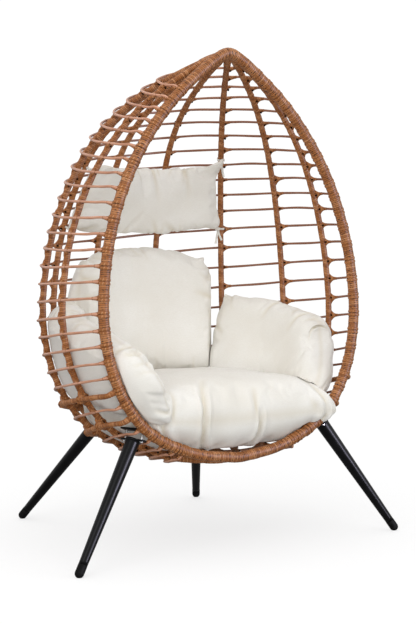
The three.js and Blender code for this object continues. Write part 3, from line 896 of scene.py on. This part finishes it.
class Cover:
    """A sewn cover of two sheets.

    corners are four rounding powers, anticlockwise from right and top. An ear is a drawn-out corner: its
    two signs, its size and its spread. between holds two angles that the cover stays between, and travel
    is how far it moves up.
    """

    def __init__(self, width, height, corners, ears, between=None, travel=0.0):
        columns, rows = (int(size / CUSHION_GRID) | 1 for size in (width, height))
        self.coords, self.faces, self.loop = two_sheets(columns, rows)
        u, v, self.side = self.coords.T
        self.ring = np.maximum(np.abs(u), np.abs(v))
        angle = np.arctan2(v, u)
        across, up = np.cos(angle), np.sin(angle)
        right, top = across >= 0, up >= 0
        power = np.select([right & top, ~right & top, ~right & ~top], corners[:3], corners[3])
        reach = self.ring * (np.abs(across) ** power + np.abs(up) ** power) ** (-1 / power)
        for waves, size in EDGE_WAVES:
            reach = reach * (1 + size * self.ring**4 * np.sin(waves * angle + RANDOM.uniform(0, FULL_TURN)))
        self.s, self.t = reach * across, reach * up
        for ear_u, ear_v, size, spread in ears:
            near = np.exp(-(((u - ear_u) * width / 2) ** 2 + ((v - ear_v) * height / 2) ** 2) / spread**2)
            self.s = self.s + ear_u * near * size / width * 2
            self.t = self.t + ear_v * near * size * EAR_LIFT / height * 2
        self.flat = np.stack([self.s * width / 2, self.t * height / 2], 1)
        self.points = None
        self.between, self.travel = between, travel
        # Painted shade weights for the fabric's warm fold tint, from 0 to 1.
        self.fold_shade = np.zeros(len(self.side))

    def set_points(self, points):
        """Takes the shape, with its faces turned outwards."""
        corner = points[self.faces]
        volume = np.einsum("ij,ij->i", corner[:, 0], np.cross(corner[:, 1], corner[:, 2])).sum()
        volume += np.einsum("ij,ij->i", corner[:, 0], np.cross(corner[:, 2], corner[:, 3])).sum()
        if volume < 0:
            self.faces = self.faces[:, ::-1]
        self.points = points

    def normals(self):
        corner = self.points[self.faces]
        face = np.cross(corner[:, 2] - corner[:, 0], corner[:, 3] - corner[:, 1])
        total = np.zeros_like(self.points)
        for k in range(4):
            np.add.at(total, self.faces[:, k], face)
        return unit(total)

    def swell(self, size, length, count=14):
        """A smooth seeded unevenness, different on every call."""
        total = np.zeros(len(self.points))
        for _ in range(count):
            way = unit(RANDOM.normal(size=3))
            waves = self.points @ way * FULL_TURN / (length * RANDOM.uniform(0.6, 1.7))
            total += np.sin(waves + RANDOM.uniform(0, FULL_TURN))
        self.points = self.points + self.normals() * (total * size / math.sqrt(count))[:, None]

    def smooth(self, share):
        """Moves every vertex towards the mean of its neighbours along the faces' edges."""
        first = np.tile(self.faces.T.ravel(), 2)
        second = np.concatenate([np.roll(self.faces, turn, 1).T.ravel() for turn in (-1, 1)])
        count = np.bincount(first, minlength=len(self.points))[:, None]
        total = np.stack([np.bincount(first, self.points[second, k], len(self.points)) for k in range(3)], 1)
        self.points = self.points * (1 - share) + total / count * share

    def crease(self, x, y, heading, length, width, depth, side=0, bend=0.0):
        """A narrow valley between two low folds, from a place on the flat cover along a heading."""
        way = np.array([math.cos(math.radians(heading)), math.sin(math.radians(heading))])
        off = self.flat - (x, y)
        along = off @ way
        across = off @ np.array([-way[1], way[0]]) + bend * along**2 / length
        fade = np.clip(1 - along / length, 0, 1) ** 0.8 * np.clip(1 + along / 0.02, 0, 1)
        wide = width * (1 + 0.9 * np.clip(along / length, 0, 1))
        valley = np.exp(-((across / wide) ** 2))
        folds = np.exp(-((across / wide - 1.9) ** 2)) + np.exp(-((across / wide + 1.9) ** 2))
        here = 1.0 if side == 0 else (self.side * side >= 0)
        push = depth * (valley - 0.5 * folds) * fade * here
        self.points = self.points - self.normals() * push[:, None]
        # Painted shade: the crease's valley gets the fabric's warm fold tint.
        self.fold_shade = np.maximum(self.fold_shade, valley**2 * fade * here * min(depth / DEEP_FOLD, 1.0))

    def seam_creases(self, count, depth, longest):
        """Seeded puckers along the seam, more of them near the corners."""
        u, v = np.abs(self.coords[self.loop, :2]).T
        weight = 0.25 + np.minimum(u, v) ** 3
        chosen = RANDOM.choice(self.loop, count, replace=False, p=weight / weight.sum())
        for index in chosen:
            x, y = self.flat[index]
            inward = math.degrees(math.atan2(-y, -x))
            self.crease(x, y, inward + RANDOM.normal(0, 22), RANDOM.uniform(0.3, 1.0) * longest,
                        RANDOM.uniform(0.0045, 0.009), RANDOM.uniform(0.35, 1.0) * depth,
                        side=int(RANDOM.integers(-1, 2)), bend=RANDOM.normal(0, 0.25))

    def puff(self):
        """Blows the cover up as cloth with its seam gathered; no point moves further than the cap."""
        mesh = bpy.data.meshes.new("cloth")
        mesh.from_pydata(self.points.tolist(), [], self.faces.tolist())
        mesh.update()
        piece = bpy.data.objects.new("cloth", mesh)
        SCENE.collection.objects.link(piece)
        piece.vertex_groups.new(name="seam").add([int(i) for i in self.loop], 1.0, "REPLACE")
        cloth = piece.modifiers.new("cloth", "CLOTH")
        settings = cloth.settings
        settings.quality = 4
        settings.mass = 0.25
        settings.tension_stiffness = settings.compression_stiffness = 18.0
        settings.shear_stiffness = 6.0
        settings.bending_stiffness = 0.5
        settings.use_pressure = True
        settings.uniform_pressure_force = 4.0
        settings.vertex_group_shrink = "seam"
        settings.shrink_min, settings.shrink_max = SEAM_SLACK, SEAM_GATHER
        settings.effector_weights.gravity = 0.0
        cloth.collision_settings.use_collision = False
        cloth.point_cache.frame_start, cloth.point_cache.frame_end = 1, CLOTH_FRAMES
        for number in range(1, CLOTH_FRAMES + 1):
            SCENE.frame_set(number)
        shape = piece.evaluated_get(bpy.context.evaluated_depsgraph_get())
        blown = np.array([vertex.co for vertex in shape.data.vertices], float)
        bpy.data.objects.remove(piece)
        SCENE.frame_set(1)
        moved = blown - self.points
        distance = np.linalg.norm(moved, axis=1, keepdims=True)
        capped = moved * CLOTH_CAP * np.tanh(distance / CLOTH_CAP) / np.maximum(distance, 1e-9)
        self.points = self.points + capped

    def stuff(self, points, unevenness, seam_creases):
        """Gives the cover its shape, then its filling, then the puckers of its seam."""
        self.set_points(points)
        self.swell(*unevenness)
        self.puff()
        self.seam_creases(*seam_creases)

    def keep_inside_ribs(self):
        """Presses the cover back from the ribs it rests against, at both ends of its travel."""
        away = self.points[:, :2] - (0.0, BASKET_AXIS_Y)
        height = self.points[:, 2]
        limit = np.minimum(basket_wall(height), basket_wall(height + self.travel)) - RIB_RADIUS - FABRIC_GAP
        limit = limit + RIM_PLANE_EASE * np.clip(rim_plane_y(height) - self.points[:, 1], 0, None)
        share = np.minimum(1.0, limit / np.maximum(np.hypot(*away.T), 1e-6))
        self.points[:, :2] = (0.0, BASKET_AXIS_Y) + away * share[:, None]

    def keep_off_rim(self):
        """Dents the cover where it leans on the front rim."""
        gap = RIM_RADIUS + FABRIC_GAP
        for part in np.array_split(self.points, 20):
            away = part[:, None] - RIM_LINE_FINE[None]
            distance = np.linalg.norm(away, axis=2)
            near = distance.argmin(1)
            row = np.arange(len(part))
            short = distance[row, near] < gap
            pushed = RIM_LINE_FINE[near] + unit(away[row, near]) * gap
            part[short] = pushed[short]

    def keep_beside(self):
        """Flattens the cover's ends against its neighbours', on wavy planes through the basket's axis."""
        for degrees, turn in zip(self.between, (1, -1)):
            way = turn * np.array([-math.sin(math.radians(degrees)), math.cos(math.radians(degrees))])
            away = self.points[:, :2] - (0.0, BASKET_AXIS_Y)
            wave = turn * CONTACT_WAVE * np.sin(CONTACT_WAVES_PER_METRE * np.hypot(*away.T))
            short = FABRIC_GAP / 4 + wave - away @ way
            self.points[:, :2] += np.clip(short, 0, None)[:, None] * way

    def lift_off(self, below):
        """Presses the cover up where it rests on the piece below it."""
        tree = BVHTree.FromPolygons(below.points.tolist(), below.faces.tolist())
        for i, (x, y, z) in enumerate(self.points):
            hit = tree.ray_cast(Vector((x, y, ABOVE_ALL)), Vector((0.0, 0.0, -1.0)))[0]
            if hit is not None and z < hit.z + FABRIC_GAP:
                self.points[i, 2] = hit.z + FABRIC_GAP

    def settle(self, rest_on):
        self.keep_inside_ribs()
        self.keep_off_rim()
        if self.between is not None:
            self.keep_beside()
        if rest_on is not None:
            self.lift_off(rest_on)

    def finish(self, body, node, rest_on=None):
        self.settle(rest_on)
        self.smooth(0.35)
        self.points[self.loop] -= self.normals()[self.loop] * SEAM_GROOVE
        # Painted shade along the seam's groove.
        self.fold_shade[self.loop] = SEAM_SHADE
        self.settle(rest_on)
        name = f"{node}_cover"
        mesh = bpy.data.meshes.new(name)
        mesh.from_pydata(self.points.tolist(), [], self.faces.tolist())
        mesh.polygons.foreach_set("use_smooth", np.ones(len(self.faces), bool))
        # Carries the painted fold shade weights to the fabric's colour.
        mesh.attributes.new("fold_shade", "FLOAT", "POINT").data.foreach_set("value", self.fold_shade)
        mesh.update()
        piece = bpy.data.objects.new(name, mesh)
        modifier = piece.modifiers.new("smooth_cover", "SUBSURF")
        modifier.levels = modifier.render_levels = 1
        place(piece, FABRIC, body, [node])


PAD_RADIUS = 0.44
PAD_UNEVENNESS = (0.0022, 0.13)
PAD_SEAM_CREASES = (34, 0.0075, 0.085)
BACK_END_LEAN = 9.0


def build_pad(start, end, bottom_at, top_at, thickness, corners, ears, front=0, lean=0.0, **limits):
    """A sewn pad against the ribs between two angles round the basket's axis.

    front is the s of its front end, which leans back by up to lean degrees above its bottom corner.
    """
    width, height = math.radians(end - start) * PAD_RADIUS, float(top_at(45.0) - bottom_at(45.0))
    cover = Cover(width, height, corners, ears, **limits)
    degrees = (start + end) / 2 + cover.s * (end - start) / 2
    towards_front = np.clip(front * cover.s, 0, 1)
    degrees = degrees - front * lean * towards_front**2 * (np.clip(1 + cover.t, 0, 2) / 2) ** 0.8
    towards_back = np.clip(-front * cover.s, 0, 1)
    degrees = degrees + front * BACK_END_LEAN * towards_back**2 * (np.clip(1 + cover.t, 0, 2) / 2) ** 1.5
    angle, top, bottom = np.radians(degrees), top_at(degrees), bottom_at(degrees)
    z = (top + bottom) / 2 + cover.t * (top - bottom) / 2
    crown = np.clip(1 - cover.ring**3.6, 0, 1) ** 0.52
    half = thickness / 2 * crown * (1 - 0.1 * cover.t)
    reach = basket_wall(z) - RIB_RADIUS - FABRIC_GAP - thickness * 0.46 - cover.side * half
    cover.stuff(np.stack([reach * np.cos(angle), BASKET_AXIS_Y + reach * np.sin(angle), z], 1),
                PAD_UNEVENNESS, PAD_SEAM_CREASES)
    return cover


def rim_sill():
    """Half-width and height of the lower part of the rim, from its lowest point up."""
    part = RIM_LINE_FINE[(RIM_LINE_FINE[:, 0] >= -0.002) & (RIM_LINE_FINE[:, 2] < 0.55)]
    return part[np.argsort(part[:, 0])][:, [0, 2]]


SEAT_SEAM_HEIGHT = 0.414
SEAT_OVER_RIM, SEAT_DROP = 0.006, 0.026
SEAT_UNEVENNESS = (0.0024, 0.15)
SEAT_SEAM_CREASES = (16, 0.0070, 0.09)


def build_seat():
    """A boxy pad: straight across the front, round at the back, seam half way up, sunk over the rim."""
    low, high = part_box("seat_cushion")
    half_width = high[0] + SEAT_OVER_RIM
    front, back = BASKET_AXIS_Y - low[1] + 0.002, high[1] - BASKET_AXIS_Y
    lower_rim = rim_sill()
    cover = Cover(2 * half_width, front + back, (ROUND, ROUND, SOFT, SQUARE), [(1, -1, 0.026, 0.07)])
    ring, s, t = cover.ring, cover.s, cover.t
    x = s * half_width
    y = BASKET_AXIS_Y + t * np.where(t < 0, front, back)
    rise = (high[2] - SEAT_SEAM_HEIGHT) * (0.66 * (1 - ring**7) ** 0.5 + 0.34 * (1 - ring**2))
    rise = rise - 0.004 * np.clip(-t, 0, 1) ** 2 * np.abs(s) ** 2
    sill = np.interp(np.abs(x), lower_rim[:, 0], lower_rim[:, 1]) + RIM_RADIUS + FABRIC_GAP
    deepest = SEAT_SEAM_HEIGHT - np.clip(sill, low[2] - SEAT_DROP, SEAT_SEAM_HEIGHT - 0.03)
    floor = SEAT_SEAM_HEIGHT - low[2]
    fall = floor + (deepest - floor) * np.clip(-t, 0, 1) ** 3
    fall = fall * (1 - ring**8) ** 0.6
    z = SEAT_SEAM_HEIGHT + np.where(cover.side > 0, rise, -fall * (cover.side < 0))
    cover.stuff(np.stack([x, y, z], 1), SEAT_UNEVENNESS, SEAT_SEAM_CREASES)
    edge = -(front + back) / 2
    for crease in (
        (-0.15, edge, 82, 0.16, 0.0075, 0.016, 0, 0.3),
        (0.07, edge, 96, 0.15, 0.0075, 0.017, -1, -0.2),
        (0.05, edge, 75, 0.07, 0.008, 0.006, 1),
        (-0.30, edge + 0.02, 60, 0.13, 0.009, 0.010),
        (0.33, edge + 0.02, 118, 0.12, 0.009, 0.010),
    ):
        cover.crease(*crease)
    cover.finish("frame", "seat_cushion")
    return cover


TIE_WIDTH, TIE_THICKNESS, TAIL_THICKNESS = 0.007, 0.0012, 0.0011
TIE_LOOP_RADIUS, KNOT_OFFSET, KNOT_RADIUS = 0.0128, 0.016, 0.0055
TIE_CORNERS = ((-0.5, -0.5), (0.5, -0.5), (0.5, 0.5), (-0.5, 0.5))


def add_ribbon(soup, points, thickness, way):
    """A flat ribbon through the points, its width along a way."""
    curve = smooth_curve(np.array(points), LINE_STEP)
    tangent = unit(np.gradient(curve, axis=0))
    flat = unit(np.asarray(way) - tangent * (tangent @ np.asarray(way))[:, None])
    off = np.cross(tangent, flat)
    rings = np.stack([curve + flat * TIE_WIDTH * a + off * thickness * b for a, b in TIE_CORNERS], 1)
    soup.add_tube(rings, row_lengths(curve))


def build_tie(soup, line, corner):
    """A ribbon from a cushion's corner round a rib's line, with a knot and two tails."""
    row = np.argmin(np.abs(line[:, 2] - corner[2] - 0.006))
    rib_point = line[row]
    rib_way = unit(line[row + 2] - line[row - 2])
    inward = unit(np.array([0.0, BASKET_AXIS_Y, rib_point[2]]) - rib_point)
    inward = unit(inward - rib_way * np.dot(inward, rib_way))
    sideways = np.cross(rib_way, inward)
    if np.dot(corner - rib_point, sideways) < 0:
        sideways = -sideways
    loop = []
    for a in np.linspace(0.9, -4.6, 12):
        round_rib = TIE_LOOP_RADIUS * (inward * math.cos(a) + sideways * math.sin(a))
        loop.append(rib_point + round_rib + rib_way * 0.002 * a)
    knot = rib_point + inward * KNOT_OFFSET + sideways * 0.006
    start = corner + (knot - corner) * 0.02
    slack = (corner + knot) / 2 + (0, 0, -0.003)
    add_ribbon(soup, [start, slack, knot] + loop, TIE_THICKNESS, rib_way)
    for drop, swing in ((0.050, 0.5), (0.038, -0.7)):
        tail = [knot, knot + inward * 0.008 + (0, 0, -drop * 0.3) + sideways * 0.004 * swing,
                knot + inward * 0.006 + (0, 0, -drop) + sideways * 0.018 * swing]
        add_ribbon(soup, tail, TAIL_THICKNESS, sideways)
    lump = smooth_curve([knot - sideways * 0.006, knot + inward * 0.002, knot + sideways * 0.006], 0.0015)
    share = np.linspace(-0.92, 0.92, len(lump))
    soup.add_tube(tube_rings(lump, KNOT_RADIUS * np.sqrt(1 - share**2), 10), row_lengths(lump))


def build_ties(cover):
    """The head pillow's four corners are tied to the ribs beside it."""
    soup = Soup()
    for u, rib in ((-1, "right_rear_rib"), (1, "left_rear_rib")):
        line = smooth_curve(RIBS[rib], 0.004)
        for v in (-1, 1):
            nearest = np.argmin(np.abs(cover.coords[:, 0] - u) + np.abs(cover.coords[:, 1] - v))
            build_tie(soup, line, cover.points[nearest])
    soup.build("pillow_ties", FABRIC, "pillow", "cushion_fabric")


def level(height):
    return lambda degrees: height + 0 * degrees


def on_right_side(degrees):
    return np.where(degrees > 90, 180 - degrees, degrees)


def arm_top(degrees):
    """An arm cushion is high at the back and falls away towards the front."""
    degrees = on_right_side(degrees)
    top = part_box("right_arm_cushion")[1][2] + 0.022
    return top - 0.026 * (np.clip(52 - degrees, 0, 60) / 40) ** 0.7 - 0.058 * ((45 - degrees) / 65) ** 2


def arm_bottom(degrees):
    """An arm cushion's front end hangs over the corner of the seat."""
    return 0.434 - 0.030 * np.clip((-12 - on_right_side(degrees)) / 20, 0, 1) ** 2


BACK_ENDS = (52.5, 127.5)
BACK_TRAVEL, ARM_TRAVEL = 0.031, 0.081
BACK_THICKNESS, ARM_THICKNESS, PILLOW_THICKNESS = 0.125, 0.125, 0.1


def build_back(seat):
    low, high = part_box("back_cushion")
    back = build_pad(48.0, 132.0, level(low[2] - 0.03), level(high[2] + 0.016), BACK_THICKNESS,
                     (2.8, 2.9, SQUARE, SQUARE), [(-1, 1, 0.020, 0.034), (1, 1, 0.018, 0.036)],
                     between=BACK_ENDS, travel=BACK_TRAVEL)
    corner = back.flat.max(0)
    back.crease(corner[0] - 0.02, corner[1] * 0.55, 205, 0.16, 0.010, 0.009, 1, 0.2)
    back.crease(corner[0] - 0.03, corner[1] * 0.25, 190, 0.13, 0.009, 0.007, 1)
    back.crease(-corner[0] + 0.01, corner[1] * 0.2, 10, 0.10, 0.009, 0.006, 1)
    back.finish("back", "back_cushion", seat)


def build_arms(seat):
    """The left arm cushion reaches further forward than the right one."""
    for side, start, end, between, corners, ear, front, lean in (
        ("right", -40.0, 57.0, (-90.0, BACK_ENDS[0]), (SQUARE, ROUND, SQUARE, SQUARE),
         (1, 1, 0.024, 0.022), -1, 34.0),
        ("left", 123.0, 226.0, (BACK_ENDS[1], 270.0), (ROUND, SQUARE, SQUARE, SQUARE),
         (-1, 1, 0.020, 0.022), 1, 6.0),
    ):
        arm = build_pad(start, end, arm_bottom, arm_top, ARM_THICKNESS, corners, [ear], front, lean,
                        between=between, travel=ARM_TRAVEL)
        back_end = -front * arm.flat[:, 0].max()
        top_edge = arm.flat[:, 1].max()
        arm.crease(back_end * 0.2, top_edge, 270 - 25 * front, 0.10, 0.008, 0.006, 1)
        arm.crease(-back_end * 0.25, top_edge * 0.97, 270 - 30 * front, 0.12, 0.008, 0.006, 1)
        arm.finish(f"{side}_arm", f"{side}_arm_cushion", seat)


def build_pillow():
    low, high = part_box("head_pillow")
    pillow = build_pad(46.5, 138.5, level(low[2] - 0.002), level(high[2] + 0.010), PILLOW_THICKNESS,
                       (SQUARE,) * 4, [(-1, 1, 0.075, 0.030), (1, 1, 0.010, 0.030)])
    edge = pillow.flat[:, 1].max()
    pillow.crease(-0.03, edge, 262, 0.16, 0.009, 0.009, 1, 0.15)
    pillow.crease(-0.19, edge, 250, 0.14, 0.010, 0.009, 1, -0.2)
    pillow.crease(0.12, edge, 275, 0.10, 0.008, 0.006, 1)
    pillow.finish("pillow", "head_pillow")
    build_ties(pillow)


# ---- the floor, the light and the camera ----

FLOOR_HALF = 14.0
BOUNCE_TONE = (0.30, 0.30, 0.30)
FLOOR_TONE = (0.93, 0.93, 0.93)
LIGHT_TARGET = Vector((0.0, 0.0, 0.8))
LEG_TARGET = Vector((0.0, -0.4, 0.3))
LENS, SENSOR = 86.5, 36.0
CAMERA_PLACE = (-2.612, -4.189, 1.056)
CAMERA_WAY = Vector((0.5465, 0.8347, -0.0676))


def add_to_scene(name, data, place_, way):
    """An object that looks along a way."""
    made = bpy.data.objects.new(name, data)
    made.location = place_
    made.rotation_mode = "QUATERNION"
    made.rotation_quaternion = way.to_track_quat("-Z", "Y")
    SCENE.collection.objects.link(made)
    return made


def build_floor():
    """A pale floor that fades into the white background away from the chair and throws little light back."""
    floor = bpy.data.meshes.new("floor")
    corners = [(-FLOOR_HALF, -FLOOR_HALF, 0), (FLOOR_HALF, -FLOOR_HALF, 0),
               (FLOOR_HALF, FLOOR_HALF, 0), (-FLOOR_HALF, FLOOR_HALF, 0)]
    floor.from_pydata(corners, [], [(0, 1, 2, 3)])
    floor_object = bpy.data.objects.new("floor", floor)
    n = Look("pale_floor")
    seen = n.seen()
    n.dress({"Base Color": n.mix(seen, BOUNCE_TONE, FLOOR_TONE), "Roughness": 0.9})
    x, y, _ = n.split(n.coords())
    distance = n.math("SQRT", n.plus(n.times(x, x), n.times(y, y)))
    far = n.tree.nodes.new("ShaderNodeEmission")
    blend = n.tree.nodes.new("ShaderNodeMixShader")
    n.plug(far.inputs["Strength"], n.span(seen, 0.0, 1.0, 0.35, 1.03))
    n.plug(blend.inputs[0], n.span(distance, 0.5, 1.9, 0.6, 1.0))
    n.plug(blend.inputs[1], n.shader.outputs[0])
    n.plug(blend.inputs[2], far.outputs[0])
    n.plug(n.output.inputs[0], blend.outputs[0])
    floor.materials.append(n.material)
    SCENE.collection.objects.link(floor_object)


def build_world():
    world = bpy.data.worlds.new("studio")
    world.use_nodes = True
    sky = world.node_tree.nodes["Background"]
    n = Nodes(world.node_tree)
    seen = n.seen()
    sky.inputs[0].default_value = (1.0, 1.0, 1.0, 1.0)
    n.plug(sky.inputs[1], n.span(seen, 0.0, 1.0, 0.9, 1.05))
    SCENE.world = world
    SCENE.view_settings.view_transform = "Standard"


def build_lights():
    """Soft square lights round the chair, and an upright strip that draws a pale line along the legs."""
    for name, place_, size, power in (
        ("key_light", (-3.2, -2.2, 2.8), 2.4, 40.0),
        ("fill_light", (3.2, -3.4, 2.2), 3.0, 14.0),
        ("top_light", (0.2, 0.6, 4.4), 3.0, 12.0),
        ("low_light", (-1.6, -4.0, 0.6), 1.1, 33.0),
    ):
        data = bpy.data.lights.new(name, "AREA")
        data.size = size
        data.energy = power
        light = add_to_scene(name, data, place_, LIGHT_TARGET - Vector(place_))
        light.visible_glossy = name != "low_light"
    strip = bpy.data.lights.new("strip_light", "AREA")
    strip.shape = "RECTANGLE"
    strip.size, strip.size_y = 0.6, 2.2
    strip.energy = 200.0
    strip.color = (0.80, 0.78, 1.0)
    strip_place = Vector((1.7, -3.6, 1.3))
    add_to_scene("strip_light", strip, strip_place, LEG_TARGET - strip_place).visible_diffuse = False


def build_camera():
    data = bpy.data.cameras.new("camera")
    data.sensor_width = SENSOR
    data.lens = LENS
    data.clip_end = 60.0
    SCENE.camera = add_to_scene("camera", data, CAMERA_PLACE, CAMERA_WAY)


# ---- the whole chair ----


RIM_LINE_FINE = smooth_curve(RIM_LINE, LINE_STEP, closed=True)
HOOP_CURVES = {name: hoop_curve(name) for name in HOOP_NODES}
build_rim()
lashings, painted_shade_blobs = Soup(), Soup()
for rib in RIB_NODES:
    rib_curve, hits = build_rib(rib)
    for hoop, (row, column) in hits.items():
        lash_rib(lashings, painted_shade_blobs, rib_curve, row, HOOP_CURVES[hoop], column, hoop.startswith("wrapped"))
for hoop in HOOP_NODES:
    build_hoop(hoop)
    for end in (0, 1):
        lash_rim_end(lashings, HOOP_CURVES[hoop], end, hoop.startswith("wrapped"))
lashings.build("lashings", LASH_STRAND, "frame", "wrapped_strand")
# The lashings' near-black painted shade blobs.
painted_shade_blobs.build("lashing_painted_shade_blobs", PAINTED_SHADE, "frame", "wrapped_strand")
build_bindings()
for leg in LEGS:
    build_leg(leg)
seat_cover = build_seat()
build_back(seat_cover)
build_arms(seat_cover)
build_pillow()
build_floor()
build_world()
build_lights()
build_camera()
bpy.context.view_layer.update()
